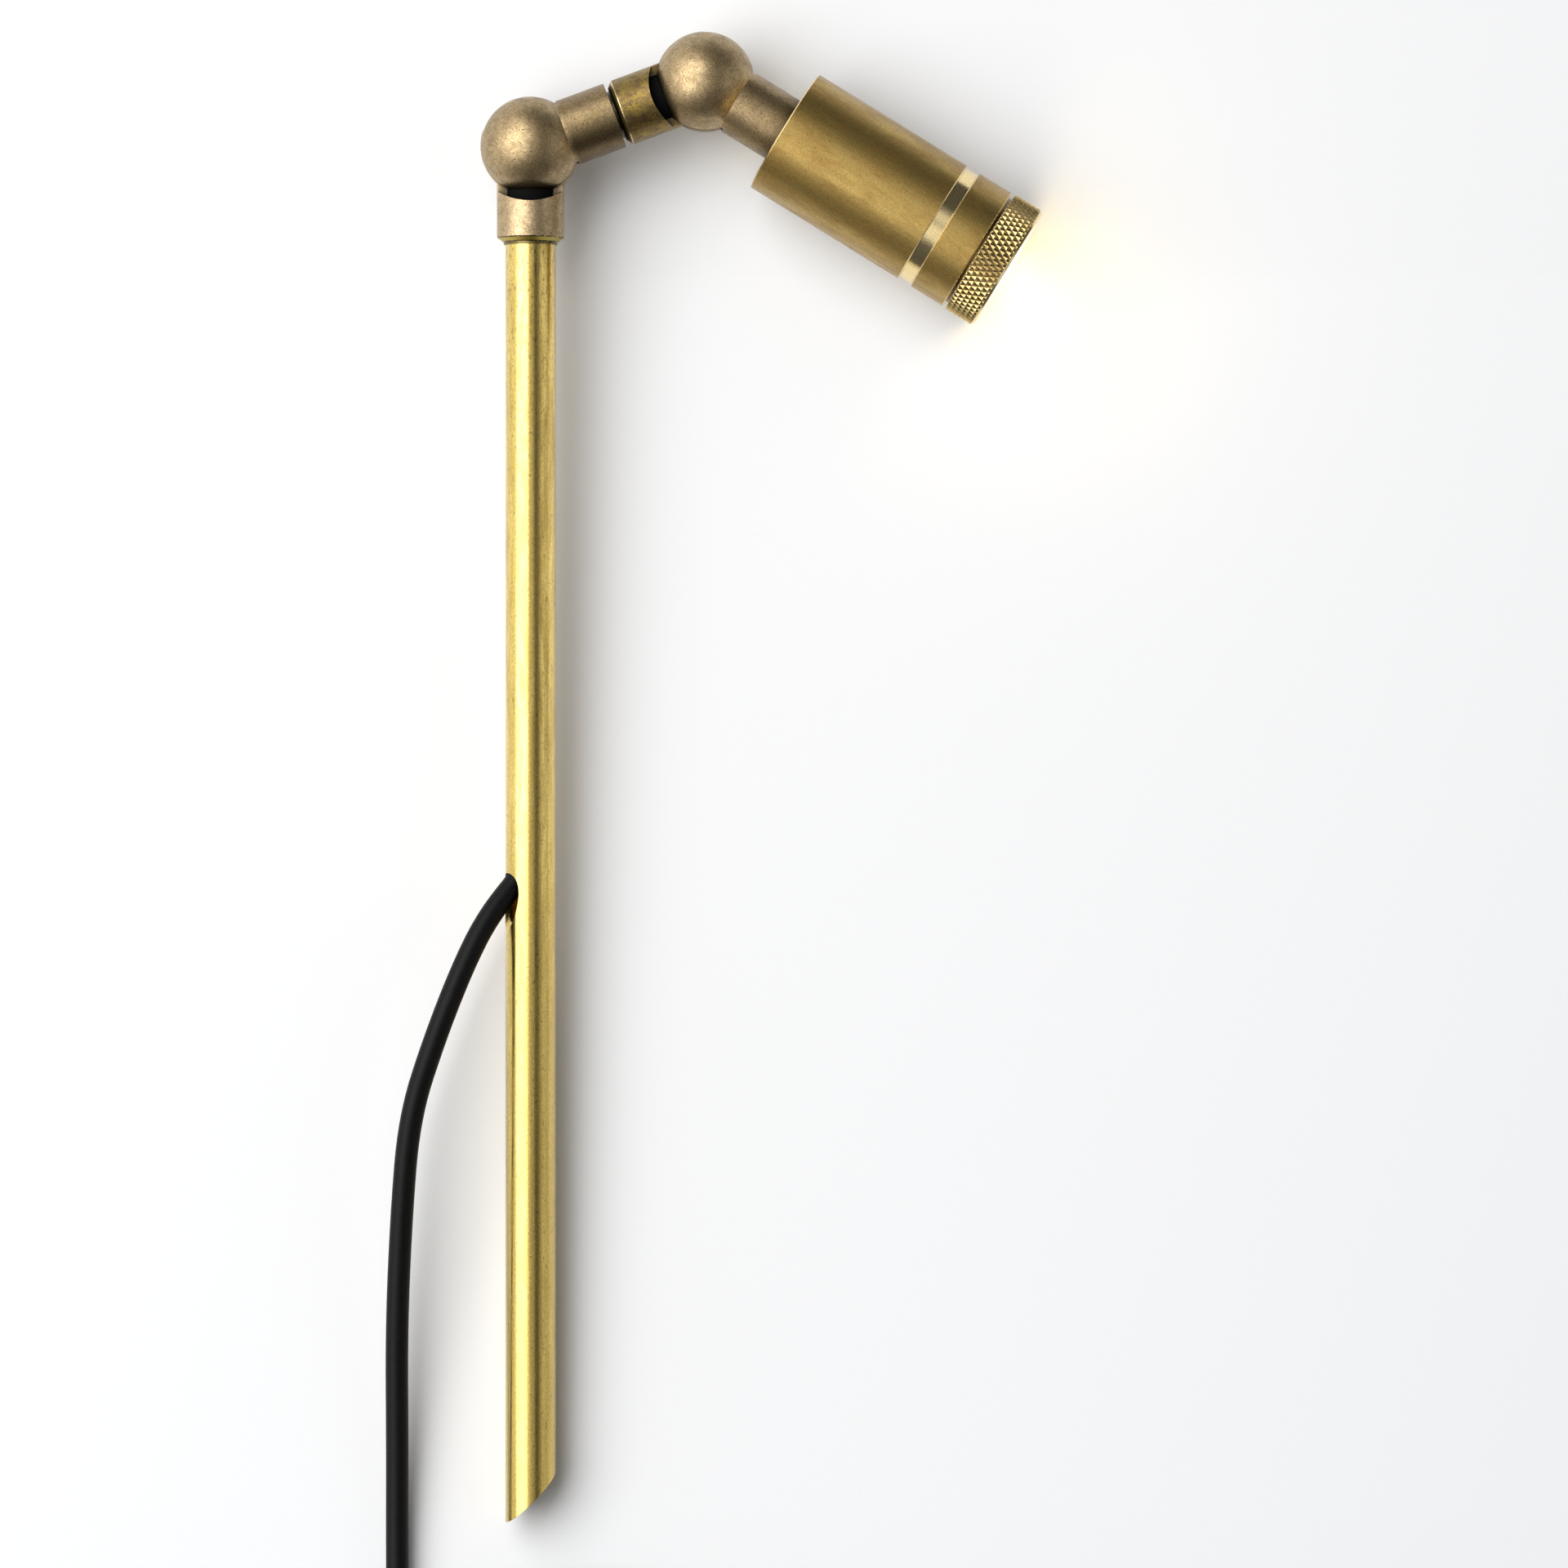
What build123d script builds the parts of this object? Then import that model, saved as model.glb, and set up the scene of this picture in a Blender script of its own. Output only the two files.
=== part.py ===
from build123d import *
import math
import os

# Garden spike spotlight: a brass tube that stands in the ground, two ball knuckles and a lamp head.
# Millimetres and degrees. The origin is on the stem's axis at ground level, +Z is up the stem, and both
# knuckles swing about axes along Y. Each sub-part is one file in parts/.

# --- Driving dimensions -------------------------------------------------------------------------------

# fits between pieces
thread_clearance = 0.05
running_clearance = 0.05
face_gap = 0.05
loose_clearance = 0.30

# stem: a tube cut off slanting at its foot
tube_od = 16.0
tube_wall = 1.5
stem_height = 219.4
spike_depth = 184.0
tip_angle = 45.0
tip_turn = 17.5

# cable, and the steeper oblique hole that it leaves the stem by
cable_d = 7.2
core_d = 1.8
core_spread = 1.3
cable_exit_height = 14.8
cable_exit_azimuth = 26.0
cable_exit_slope = 42.0
cable_hole_d = 9.8
cable_hole_height = 12.0
cable_hole_slope = 33.5

# cable inside the stem, from the exit's bend up
cable_wall_run = 43.0
cable_centring_run = 58.0
cable_easy_radius = 72.0
core_end_gap = 2.0
core_reach = 4.0

# ferrule between the tube and the lower socket
ferrule_insert = 15.0
ferrule_collar_r = 8.5
ferrule_collar_h = 0.7
ferrule_bore_r = 4.2
ferrule_thread_h = 8.0

# sockets: turned tubes with a saddle for the ball and a tongue in the ball's slot
socket_od = 21.3
socket_bore_r = 7.8
saddle_gap = 1.95
socket_chamfer_w = 2.1
socket_chamfer_h = 1.6
lower_socket_length = 28.8
upper_socket_length = 28.1
tongue_thickness = 6.0
tongue_reach = 108.0
hub_r = 7.5
pocket_r = 12.5
pocket_depth = 1.5

# rubber seal that closes each socket's bore under the ball
seal_h = 5.0
seal_bore_r = 3.0
seal_gap = 0.15

# ball arms: a slotted ball and the neck that it carries
ball_d = 31.7
neck_od = 21.3
lower_neck_length = 28.4
upper_neck_length = 29.5
slot_width = 7.0
slot_clearance = 0.45
neck_wire_r = 4.5
spigot_wire_r = 3.0

# pivot screw of each ball
shoulder_r = 3.0
pivot_thread_r = 2.45
pivot_thread_h = 6.0
screw_head_r = 4.75
screw_head_h = 3.5
counterbore_r = 5.2
counterbore_floor = 8.5
spring_washer_h = 1.0
spring_washer_slit = 0.8
friction_washer_r = 7.0
hex_key = 4.0
hex_depth = 2.0

# nipple that joins the lower arm to the upper socket, and the grub screw that keeps it there
link_gap = 0.8
nipple_bore_r = 4.5
nipple_insert = 8.5
nipple_reach = 8.0
nipple_groove_depth = 1.2
lock_screw_r = 1.5
lock_screw_setback = 4.0
lock_hex_key = 1.5
lock_hex_depth = 1.2

# rest bends of the two knuckles, from straight
lower_bend = 69.7
upper_bend = 52.0

# lamp head, measured forward from its back face
head_od = 41.6
head_bore_r = 17.9
head_back = 5.0
groove_start = 55.1
groove_end = 59.5
groove_depth = 0.6
groove_bevel = 0.25
barrel_length = 71.6
barrel_bevel = 0.3
head_thread_r = 19.0
head_thread_h = 6.6
spigot_r = 6.0
spigot_past_nut = 1.0
lock_nut_flats = 19.0
lock_nut_h = 5.0

# front ring, lens and seal
ring_od = 42.3
ring_gap = 1.0
ring_knurl_h = 9.6
ring_lip_r = 20.6
ring_lip_h = 0.9
ring_opening_r = 17.3
ring_bevel = 0.3
lens_flange_h = 2.45
lens_crown = 0.6
gasket_h = 1.0
gasket_width = 1.8

# lamp and its holder
lamp_rim_r = 17.5
lamp_rim_h = 2.7
lamp_inset = 0.9
reflector_depth = 19.6
reflector_mid_r = 12.2
reflector_neck_r = 6.5
reflector_wall = 1.0
seat_ring_w = 2.25
seat_ring_h = 2.0
lamp_glass_h = 1.4
capsule_r = 3.5
capsule_h = 11.0
lamp_base_size = (15.5, 9.0, 12.0)
pin_r = 0.5
pin_pitch = 4.0
pin_length = 6.0
holder_size = (18.0, 10.0, 10.0)
holder_gap = 1.8
holder_plate_h = 1.2
holder_screw_spacing = 13.0
holder_screw_r = 1.0
holder_screw_head_r = 1.9
holder_screw_head_h = 1.3

# cable outside: the route it is seen on, and the coil that holds the rest
lead_straight = 9.5
lead_x = -42.2
coil_plane_y = 4.3
coil_first_turn_r = 48.5
coil_gap = 0.5
coil_half_turns_in = 5
coil_half_turns_out = 6
coil_height = -260.0
tail_length = 19.8
tie_width = 6.0
tie_thickness = 1.2
tie_slack = 0.4

# plug on the cable's far end
gland_r = 7.0
gland_h = 9.0
gland_flats = 13.0
gland_lip = 1.0
gland_seal_r = 6.4
gland_seal_h = 1.0
plug_r = 9.0
plug_h = 26.0
plug_bevel = 1.0
plug_grip_count = 14
plug_grip_r = 0.8
plug_grip_margin = 5.2
nose_r = 6.5
nose_h = 12.0
contact_r = 1.0
contact_pitch = 5.0
contact_reach = 7.0

# --- Worked out from them -----------------------------------------------------------------------------

tube_r = tube_od / 2
tube_bore_r = tube_r - tube_wall
cable_r = cable_d / 2
gland_bore_r = cable_r / 2  # the cable's end sits on the gland, and only its cores pass
ball_r = ball_d / 2
neck_r = neck_od / 2
socket_r = socket_od / 2
saddle_r = ball_r + saddle_gap
slot_r = ball_r + slot_clearance
slot_half = slot_width / 2
tongue_half = tongue_thickness / 2
thread_bore_r = socket_bore_r
nipple_r = socket_bore_r - running_clearance
head_r = head_od / 2
ring_r = ring_od / 2
ring_bore_r = head_thread_r + running_clearance

link_length = lower_neck_length + link_gap + socket_chamfer_h + upper_socket_length
ring_start = barrel_length + ring_gap
ring_end = ring_start + ring_knurl_h
lip_end = ring_end + ring_lip_h
head_thread_end = barrel_length + head_thread_h
lens_back = head_thread_end + face_gap + gasket_h
lens_shoulder = lens_back + lens_flange_h
lens_r = ring_bore_r - loose_clearance
lamp_front = head_thread_end - lamp_inset
lamp_seat = lamp_front - lamp_rim_h
reflector_back = lamp_front - reflector_depth
base_back = reflector_back - lamp_base_size[2]
holder_top = base_back - holder_gap
holder_bottom = holder_top - holder_size[2]
plate_bottom = holder_bottom - holder_plate_h

UP = (Align.CENTER, Align.CENTER, Align.MIN)
PAST = 1.0  # how far a cutting tool runs past what it cuts


# --- Small helpers ------------------------------------------------------------------------------------

def bar(radius, bottom, top, x=0.0, y=0.0):
    """Round bar along Z between two heights."""
    return Pos(x, y, bottom) * Cylinder(radius, top - bottom, align=UP)


def sleeve(outer_r, inner_r, bottom, top):
    """Round tube along Z between two heights."""
    return bar(outer_r, bottom, top) - bar(inner_r, bottom - PAST, top + PAST)


def cross_bar(radius, y_low, y_high):
    """Round bar along Y, through the local origin's X and Z."""
    return Pos(0, y_high, 0) * Rot(90, 0, 0) * Cylinder(radius, y_high - y_low, align=UP)


def cross_sleeve(outer_r, inner_r, y_low, y_high):
    """Round tube along Y."""
    return cross_bar(outer_r, y_low, y_high) - cross_bar(inner_r, y_low - PAST, y_high + PAST)


def turned(points):
    """Solid of revolution about Z from (radius, height) corners."""
    corners = [(radius, 0, height) for radius, height in points]
    return revolve(make_face(Polyline(*corners, close=True)), axis=Axis.Z)


def hex_bar(flats, bottom, top):
    """Hexagonal bar along Z, given across its flats."""
    outline = RegularPolygon(radius=flats / 2, side_count=6, major_radius=False)
    return Pos(0, 0, bottom) * extrude(outline, amount=top - bottom)


def along(origin, direction):
    """Location whose Z axis runs from a point along a direction."""
    return Plane(origin=origin, z_dir=direction).location


def swept(path, radius):
    """Round solid along a path."""
    return sweep(Plane(origin=path @ 0, z_dir=path % 0) * Circle(radius), path=path)


def save(node, shape):
    """Write one sub-part, or a group of separate solids, to its own file."""
    solids = shape.solids()
    print(f"{node}: {len(solids)} solid(s), {sum(solid.volume for solid in solids):.0f} mm3")
    whole = solids[0] if len(solids) == 1 else Compound(children=list(solids))
    export_step(whole, f"parts/{node}.step")


# --- Knuckles, in a frame with the hinge along Y at the origin ---------------------------------------

def tongue():
    """Disc in the ball's slot, with its two legs, the wire pockets on both faces and the pivot's hole."""
    plate = Box(4 * ball_r, tongue_thickness, 4 * ball_r)
    disc = Sphere(ball_r) & plate
    legs = bar(socket_r, -saddle_r - socket_chamfer_w, -hub_r) & plate
    pockets = Part()
    for side in (-1, 1):
        floor = side * (tongue_half - pocket_depth)
        face = side * (tongue_half + PAST)
        pockets += cross_sleeve(pocket_r, hub_r, min(floor, face), max(floor, face))
    blank = disc + legs - pockets - (tongue_opening() - cross_bar(hub_r, -ball_r, ball_r))
    blank -= bar(socket_bore_r, -2 * saddle_r, -hub_r - face_gap)
    return blank - cross_bar(shoulder_r + running_clearance, -ball_r, ball_r)


def tongue_opening():
    """Wedge above the hinge where the disc is cut back to its hub."""
    reach = 2 * ball_r
    edge_x = reach * math.sin(math.radians(tongue_reach))
    edge_z = -reach * math.cos(math.radians(tongue_reach))
    corners = [(0, 0), (edge_x, edge_z), (edge_x, reach), (-edge_x, reach), (-edge_x, edge_z)]
    wedge = Plane.XZ * make_face(Polyline(*corners, close=True))
    return extrude(wedge, amount=tongue_thickness, both=True)


def socket(length):
    """Turned socket that hangs below the hinge, saddle, bore, bevelled end and tongue in one piece."""
    end = -length - socket_chamfer_h
    barrel = turned([
        (socket_bore_r, end),
        (socket_r - socket_chamfer_w, end),
        (socket_r, -length),
        (socket_r, 0),
        (socket_bore_r, 0),
    ])
    barrel -= cross_bar(saddle_r, -ball_r, ball_r)
    return barrel + tongue()


def wire_seal():
    """Rubber plug in the socket's bore, hollowed on top to follow the ball, with a hole for the cores."""
    plug = bar(socket_bore_r - running_clearance, -slot_r - seal_h, -hub_r)
    return plug - Sphere(ball_r + seal_gap) - bar(seal_bore_r, -slot_r - seal_h - PAST, -hub_r + PAST)


def ball_arm(neck_length, wire_r):
    """Slotted ball with its neck along +Z, the wire way and the pivot screw's stepped hole."""
    arm = Sphere(ball_r) + bar(neck_r, 0, neck_length)
    arm -= cross_bar(slot_r, -slot_half, slot_half)
    arm -= bar(wire_r, ball_r - PAST, neck_length + PAST)
    arm -= cross_bar(pivot_thread_r + thread_clearance, -slot_half - pivot_thread_h - PAST, 0)
    arm -= cross_bar(shoulder_r + thread_clearance, 0, counterbore_floor + PAST)
    return arm - cross_bar(counterbore_r, counterbore_floor, ball_r + PAST)


def pivot_screw():
    """Shoulder screw from the back cheek into the front one, its head sunk in the ball."""
    head_seat = counterbore_floor + spring_washer_h
    head_top = head_seat + screw_head_h
    screw = cross_bar(pivot_thread_r, -slot_half - pivot_thread_h, -slot_half)
    screw += cross_bar(shoulder_r, -slot_half, head_seat)
    screw += cross_bar(screw_head_r, head_seat, head_top)
    key = Pos(0, head_top, 0) * Rot(90, 0, 0) * hex_bar(hex_key, -PAST, hex_depth)
    return screw - key


def spring_washer():
    """Split ring under the pivot screw's head."""
    top = counterbore_floor + spring_washer_h
    washer = cross_sleeve(screw_head_r, shoulder_r + running_clearance, counterbore_floor, top)
    slit = Box(2 * screw_head_r, 4 * spring_washer_h, spring_washer_slit)
    return washer - Pos(screw_head_r, counterbore_floor, 0) * slit


def friction_washers():
    """One flat washer on each side of the tongue."""
    hole_r = shoulder_r + running_clearance
    washers = Part()
    for side in (-1, 1):
        near = side * (tongue_half + face_gap)
        far = side * slot_half
        washers += cross_sleeve(friction_washer_r, hole_r, min(near, far), max(near, far))
    return washers


def core_pair(bottom, top):
    """Two insulated cores side by side along Z."""
    return Part() + [bar(core_d / 2, bottom, top, x=side * core_spread) for side in (-1, 1)]


# --- Placement ----------------------------------------------------------------------------------------

lower_pivot_z = stem_height + ferrule_collar_h + socket_chamfer_h + lower_socket_length
cable_top = lower_pivot_z - saddle_r - cable_r
at_lower = Pos(0, 0, lower_pivot_z)
at_arm = at_lower * Rot(0, lower_bend, 0)
at_upper = at_arm * Pos(0, 0, link_length)
at_head_neck = at_upper * Rot(0, upper_bend, 0)
at_head = at_head_neck * Pos(0, 0, upper_neck_length)


# --- Stem ---------------------------------------------------------------------------------------------

exit_angle = math.radians(cable_exit_azimuth)
exit_lean = math.radians(cable_exit_slope)
outward = Vector(-math.cos(exit_angle), -math.sin(exit_angle), 0)
exit_point = outward * tube_r + Vector(0, 0, cable_exit_height)
exit_direction = outward * math.sin(exit_lean) - Vector(0, 0, math.cos(exit_lean))
hole_lean = math.radians(cable_hole_slope)
hole_point = outward * tube_r + Vector(0, 0, cable_hole_height)
hole_direction = outward * math.sin(hole_lean) - Vector(0, 0, math.cos(hole_lean))


def stem_tube():
    """Tube with its slanted tip and the oblique cable hole in one wall."""
    tube = sleeve(tube_r, tube_bore_r, -spike_depth - PAST, stem_height)
    below = Box(8 * tube_r, 4 * tube_r, 4 * tube_r, align=(Align.CENTER, Align.CENTER, Align.MAX))
    tube -= Rot(0, 0, tip_turn) * Pos(-tube_r, 0, -spike_depth) * Rot(0, -tip_angle, 0) * below
    inward = tube_r / math.sin(hole_lean)
    return tube - along(hole_point, hole_direction) * bar(cable_hole_d / 2, -inward, inward)


def stem_ferrule():
    """Spigot in the tube's top, with a collar and a thread in the lower socket."""
    insert_r = tube_bore_r - thread_clearance
    thread_r = thread_bore_r - thread_clearance
    collar_top = stem_height + ferrule_collar_h
    return turned([
        (ferrule_bore_r, stem_height - ferrule_insert),
        (insert_r, stem_height - ferrule_insert),
        (insert_r, stem_height),
        (ferrule_collar_r, stem_height),
        (ferrule_collar_r, collar_top),
        (thread_r, collar_top),
        (thread_r, collar_top + ferrule_thread_h),
        (ferrule_bore_r, collar_top + ferrule_thread_h),
    ])


def stem_cable():
    """Cable inside the stem: in from the exit, up along the far wall and back to the middle."""
    inside = cable_r + loose_clearance - tube_bore_r
    drift = tube_r - inside
    bend_radius = 0.9 * drift / math.sin(exit_lean) / math.tan(exit_lean / 2)
    bend_height = cable_exit_height + drift / math.tan(exit_lean)
    leave_height = bend_height + cable_wall_run
    route = [
        exit_point,
        outward * inside + Vector(0, 0, bend_height),
        outward * inside + Vector(0, 0, leave_height),
        Vector(0, 0, leave_height + cable_centring_run),
        Vector(0, 0, cable_top),
    ]
    path = FilletPolyline(*route, radius=[bend_radius, cable_easy_radius, cable_easy_radius])
    return swept(path, cable_r)


# --- Head, in a frame with its back face at Z = 0 -----------------------------------------------------

def head_body():
    """Turned barrel with its back wall, bright groove, front thread and bore."""
    groove_r = head_r - groove_depth
    edge_r = head_r - groove_bevel
    return turned([
        (spigot_r + thread_clearance, 0),
        (head_r - barrel_bevel, 0),
        (head_r, barrel_bevel),
        (head_r, groove_start - groove_bevel),
        (edge_r, groove_start),
        (groove_r, groove_start),
        (groove_r, groove_end),
        (edge_r, groove_end),
        (head_r, groove_end + groove_bevel),
        (head_r, barrel_length - barrel_bevel),
        (head_r - barrel_bevel, barrel_length),
        (head_thread_r, barrel_length),
        (head_thread_r, head_thread_end),
        (head_bore_r, head_thread_end),
        (head_bore_r, head_back),
        (spigot_r + thread_clearance, head_back),
    ])


def knurled_ring():
    """Front ring: threaded bore, knurling height outside, smooth lip and the lens opening."""
    return turned([
        (ring_bore_r, ring_start),
        (ring_r - ring_bevel, ring_start),
        (ring_r, ring_start + ring_bevel),
        (ring_r, ring_end - ring_bevel),
        (ring_r - ring_bevel, ring_end),
        (ring_lip_r, ring_end),
        (ring_lip_r, lip_end - ring_bevel),
        (ring_lip_r - ring_bevel, lip_end),
        (ring_opening_r, lip_end),
        (ring_opening_r, lens_shoulder + face_gap),
        (ring_bore_r, lens_shoulder + face_gap),
    ])


def lens_glass():
    """Flanged lens whose crowned middle fills the ring's opening."""
    boss_r = ring_opening_r - loose_clearance
    crown_radius = (boss_r ** 2 + lens_crown ** 2) / (2 * lens_crown)
    crown_top = lip_end + lens_crown
    boss = bar(boss_r, lens_back, crown_top) & Pos(0, 0, crown_top - crown_radius) * Sphere(crown_radius)
    return boss + bar(lens_r, lens_back, lens_shoulder)


def lens_gasket():
    """Flat seal behind the lens."""
    return sleeve(lens_r, lens_r - gasket_width, lens_back - gasket_h, lens_back)


def lamp_reflector():
    """Glass reflector of the lamp: rim, bowl and neck as one shell."""
    bowl_r = lamp_rim_r - seat_ring_w
    glass_seat = lamp_front - lamp_glass_h
    mid_z = (lamp_seat + reflector_back) / 2
    rim = (lamp_rim_r, 0, lamp_front)
    step = (lamp_rim_r, 0, lamp_seat)
    bowl = (bowl_r, 0, lamp_seat)
    neck = (reflector_neck_r, 0, reflector_back)
    neck_inside = (reflector_neck_r - reflector_wall, 0, reflector_back)
    middle_inside = (reflector_mid_r - reflector_wall, 0, mid_z + reflector_wall / 2)
    bowl_inside = (bowl_r - reflector_wall, 0, glass_seat)
    mouth_seat = (lamp_rim_r - reflector_wall, 0, glass_seat)
    mouth = (lamp_rim_r - reflector_wall, 0, lamp_front)
    outline = [
        Line(rim, step),
        Line(step, bowl),
        ThreePointArc(bowl, (reflector_mid_r, 0, mid_z), neck),
        Line(neck, neck_inside),
        ThreePointArc(neck_inside, middle_inside, bowl_inside),
        Line(bowl_inside, mouth_seat),
        Line(mouth_seat, mouth),
        Line(mouth, rim),
    ]
    return revolve(make_face(Wire(outline)), axis=Axis.Z)


def lamp_front_glass():
    """Flat glass in the reflector's mouth."""
    glass_r = lamp_rim_r - reflector_wall - thread_clearance
    return bar(glass_r, lamp_front - lamp_glass_h, lamp_front)


def lamp_capsule():
    """Small round-ended capsule on the lamp's axis."""
    straight_top = reflector_back + capsule_h - capsule_r
    return bar(capsule_r, reflector_back, straight_top) + Pos(0, 0, straight_top) * Sphere(capsule_r)


def lamp_base():
    """Ceramic block behind the reflector."""
    return Pos(0, 0, base_back) * Box(*lamp_base_size, align=UP)


def lamp_pins():
    """Two contact pins between the lamp's base and its holder."""
    tips = base_back - pin_length
    return Part() + [bar(pin_r, tips, base_back, x=side * pin_pitch / 2) for side in (-1, 1)]


def holder_screw_places():
    """The holder's two screws, left and right of the axis."""
    return [side * holder_screw_spacing / 2 for side in (-1, 1)]


def lamp_holder():
    """Ceramic holder with two pin holes and two screw holes."""
    block = Pos(0, 0, holder_bottom) * Box(*holder_size, align=UP)
    hole_end = base_back - pin_length
    for side in (-1, 1):
        block -= bar(pin_r + running_clearance, hole_end, holder_top + PAST, x=side * pin_pitch / 2)
    for x in holder_screw_places():
        block -= bar(holder_screw_r + thread_clearance, holder_bottom - PAST, holder_top + PAST, x=x)
    return block


def holder_plate():
    """Round plate pressed into the bore, with a wire hole and two tapped holes."""
    plate = bar(head_bore_r - thread_clearance, plate_bottom, holder_bottom)
    plate -= bar(neck_wire_r, plate_bottom - PAST, holder_bottom + PAST)
    for x in holder_screw_places():
        plate -= bar(holder_screw_r + thread_clearance, plate_bottom - PAST, holder_bottom + PAST, x=x)
    return plate


def holder_screws():
    """Two screws down through the holder into the plate."""
    screws = Part()
    for x in holder_screw_places():
        screws += bar(holder_screw_r, plate_bottom, holder_top, x=x)
        screws += bar(holder_screw_head_r, holder_top, holder_top + holder_screw_head_h, x=x)
    return screws


def neck_lock_nut():
    """Hexagon nut that draws the neck's spigot against the head's back wall."""
    nut = hex_bar(lock_nut_flats, head_back, head_back + lock_nut_h)
    return nut - bar(spigot_r + thread_clearance, head_back - PAST, head_back + lock_nut_h + PAST)


def upper_ball_arm():
    """Second ball arm, whose neck ends in the spigot through the head's back wall."""
    spigot_end = upper_neck_length + head_back + lock_nut_h + spigot_past_nut
    arm = ball_arm(upper_neck_length, spigot_wire_r) + bar(spigot_r, upper_neck_length, spigot_end)
    return arm - bar(spigot_wire_r, ball_r - PAST, spigot_end + PAST)


# --- Arm ----------------------------------------------------------------------------------------------

socket_mouth = link_length - upper_socket_length - socket_chamfer_h
lock_screw_z = socket_mouth + lock_screw_setback
nipple_top = socket_mouth + nipple_reach


def lower_ball_arm():
    """First ball arm, with a threaded bore for the nipple in its neck's end."""
    arm = ball_arm(lower_neck_length, neck_wire_r)
    return arm - bar(thread_bore_r, lower_neck_length - nipple_insert, lower_neck_length + PAST)


def arm_nipple():
    """Hollow nipple, fixed in the arm and turning in the upper socket, with its lock groove."""
    nipple = sleeve(nipple_r, nipple_bore_r, lower_neck_length - nipple_insert, nipple_top)
    half = lock_screw_r + loose_clearance
    floor_r = nipple_r - nipple_groove_depth
    return nipple - sleeve(nipple_r + PAST, floor_r, lock_screw_z - half, lock_screw_z + half)


def twist_lock_screw():
    """Grub screw through the upper socket's back wall into the nipple's groove."""
    tip = nipple_r - nipple_groove_depth + loose_clearance
    head = socket_r - loose_clearance
    screw = cross_bar(lock_screw_r, tip, head)
    key = Pos(0, head, 0) * Rot(90, 0, 0) * hex_bar(lock_hex_key, -PAST, lock_hex_depth)
    return Pos(0, 0, lock_screw_z - link_length) * (screw - key)


def upper_socket():
    """Upper socket, with the lock screw's tapped hole."""
    hole = cross_bar(lock_screw_r + thread_clearance, 0, socket_r + PAST)
    return socket(upper_socket_length) - Pos(0, 0, lock_screw_z - link_length) * hole


# --- Cable outside: the lead, the coil, the tail and the plug -----------------------------------------

coil_pitch = cable_d + coil_gap
coil_front_y = coil_plane_y - coil_pitch

# the lead's route from the exit to the coil's first turn, read off the photo, with a slow drift back
lead_route = [
    tuple(exit_point),
    tuple(exit_point + exit_direction * lead_straight),
    (-20.8, -9.2, -8.0),
    (-29.8, -10.2, -31.0),
    (-37.9, -8.9, -56.0),
    (-40.6, -5.6, -88.0),
    (-42.3, -1.6, -124.0),
    (-42.2, 1.9, -160.0),
    (-42.4, 4.0, -192.0),
    (lead_x, coil_plane_y, -222.0),
    (lead_x, coil_plane_y, coil_height + cable_d),
]


def arc_radii(route):
    """Largest arc for each corner of a route that leaves a tenth of the shorter run straight."""
    radii = []
    for before, corner, after in zip(route, route[1:], route[2:]):
        first = Vector(corner) - Vector(before)
        second = Vector(after) - Vector(corner)
        half_turn = math.radians(first.get_angle(second)) / 2
        radii.append(0.45 * min(first.length, second.length) / math.tan(half_turn))
    return radii


def cord_lead():
    """Free cable from the stem to the coil, as straight runs and tangent arcs."""
    radii = arc_radii(lead_route)
    path = FilletPolyline(*lead_route, radius=radii)
    print("lead radii:", [round(radius) for radius in radii], "length:", round(path.length, 1))
    return swept(path, cable_r)


def coil_edges():
    """Half-turn arcs: in along the back layer, one over to the front layer, and out again."""
    x, y = lead_x, coil_plane_y
    edges = [Line((x, y, coil_height + cable_d), (x, y, coil_height))]
    for turn in range(coil_half_turns_in + 1 + coil_half_turns_out):
        steps_in = coil_half_turns_in - abs(turn - coil_half_turns_in)
        radius = coil_first_turn_r - steps_in * coil_pitch / 2
        side = 1 if turn % 2 == 0 else -1
        next_x = x + side * 2 * radius
        next_y = coil_front_y if turn == coil_half_turns_in else y
        reach = math.hypot(next_x - x, next_y - y) / 2
        middle = ((x + next_x) / 2, (y + next_y) / 2, coil_height - side * reach)
        edges.append(ThreePointArc((x, y, coil_height), middle, (next_x, next_y, coil_height)))
        x, y = next_x, next_y
    edges.append(Line((x, y, coil_height), (x, y, coil_height - cable_d)))
    return edges


def least_self_gap(edges):
    """Smallest gap of the coil's cable to itself, from points along its middle line."""
    points = []
    travelled = 0.0
    for edge in edges:
        count = max(2, round(edge.length / 2))
        for index in range(count):
            points.append((travelled + edge.length * index / count, edge @ (index / count)))
        travelled += edge.length
    apart = [
        (first - second).length
        for index, (reach, first) in enumerate(points)
        for other_reach, second in points[index + 1:]
        if other_reach - reach > 3 * cable_d
    ]
    return min(apart) - cable_d


def cord_coil():
    """The cable's unseen length, wound into one neat coil of two layers."""
    edges = coil_edges()
    path = Wire(edges)
    print("coil length:", round(path.length, 1), "least gap:", round(least_self_gap(edges), 3))
    return swept(path, cable_r)


tail_x = (coil_edges()[-1] @ 1).X
tail_top = coil_height - cable_d
gland_z = tail_top - tail_length
at_plug = Pos(tail_x, coil_front_y, gland_z) * Rot(180, 0, 0)


def cord_tail():
    """Short straight end of the cable, from the coil to the plug."""
    return bar(cable_r, gland_z, tail_top, x=tail_x, y=coil_front_y)


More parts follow.
